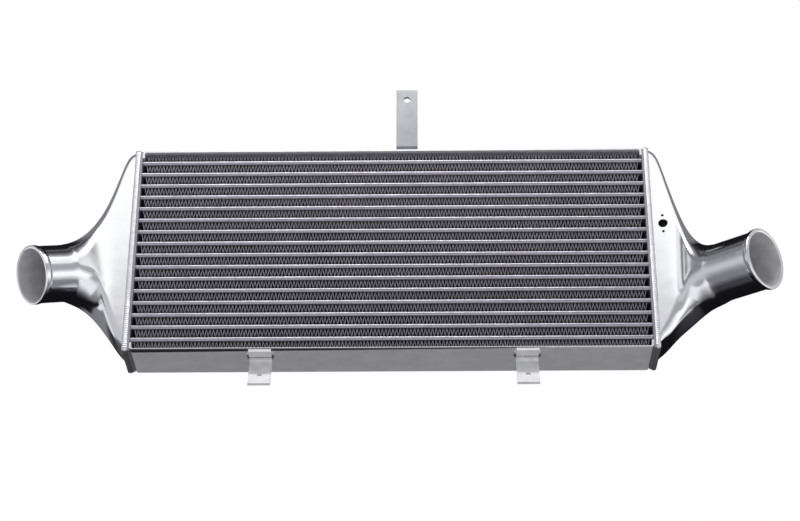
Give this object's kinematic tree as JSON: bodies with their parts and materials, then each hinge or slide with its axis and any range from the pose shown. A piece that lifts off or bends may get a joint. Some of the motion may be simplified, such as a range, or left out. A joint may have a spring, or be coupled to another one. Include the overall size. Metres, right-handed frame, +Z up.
{
  "type": "intercooler",
  "caption": "Front-mount charge-air intercooler: finned core between two cast end tanks with angled hose spigots, and welded mounting brackets above and below.",
  "frame": {"origin": "centre of the hole in the top bracket, halfway through the bar", "axes": "+X along the core towards the tank with the sensor port, -Y out of the core's front face, +Z up"},
  "size_m": [0.8262, 0.1272, 0.3673],
  "materials": {
    "cast_tank": "satin cast",
    "charge_tube": "satin",
    "fin": "bare sheet",
    "side_plate": "satin",
    "header_plate": "satin",
    "weld_bead": "rippled weld",
    "bracket": "satin"
  },
  "bodies": {
    "root": {"charge_tube_01": "charge_tube", "charge_tube_02": "charge_tube", "charge_tube_03": "charge_tube", "charge_tube_04": "charge_tube", "charge_tube_05": "charge_tube", "charge_tube_06": "charge_tube", "charge_tube_07": "charge_tube", "charge_tube_08": "charge_tube", "charge_tube_09": "charge_tube", "charge_tube_10": "charge_tube", "charge_tube_11": "charge_tube", "charge_tube_12": "charge_tube", "charge_tube_13": "charge_tube", "charge_tube_14": "charge_tube", "charge_tube_15": "charge_tube", "charge_tube_16": "charge_tube", "fin_row_01": "fin", "fin_row_02": "fin", "fin_row_03": "fin", "fin_row_04": "fin", "fin_row_05": "fin", "fin_row_06": "fin", "fin_row_07": "fin", "fin_row_08": "fin", "fin_row_09": "fin", "fin_row_10": "fin", "fin_row_11": "fin", "fin_row_12": "fin", "fin_row_13": "fin", "fin_row_14": "fin", "fin_row_15": "fin", "fin_row_16": "fin", "fin_row_17": "fin", "top_side_plate": "side_plate", "bottom_side_plate": "side_plate", "left_header_plate": "header_plate", "right_header_plate": "header_plate", "left_tank": "cast_tank", "right_tank": "cast_tank", "left_tank_weld": "weld_bead", "right_tank_weld": "weld_bead", "top_bracket": "bracket", "lower_left_bracket": "bracket", "lower_right_bracket": "bracket", "top_bracket_weld": "weld_bead", "lower_left_bracket_weld": "weld_bead", "lower_right_bracket_weld": "weld_bead"}
  },
  "joints": []
}
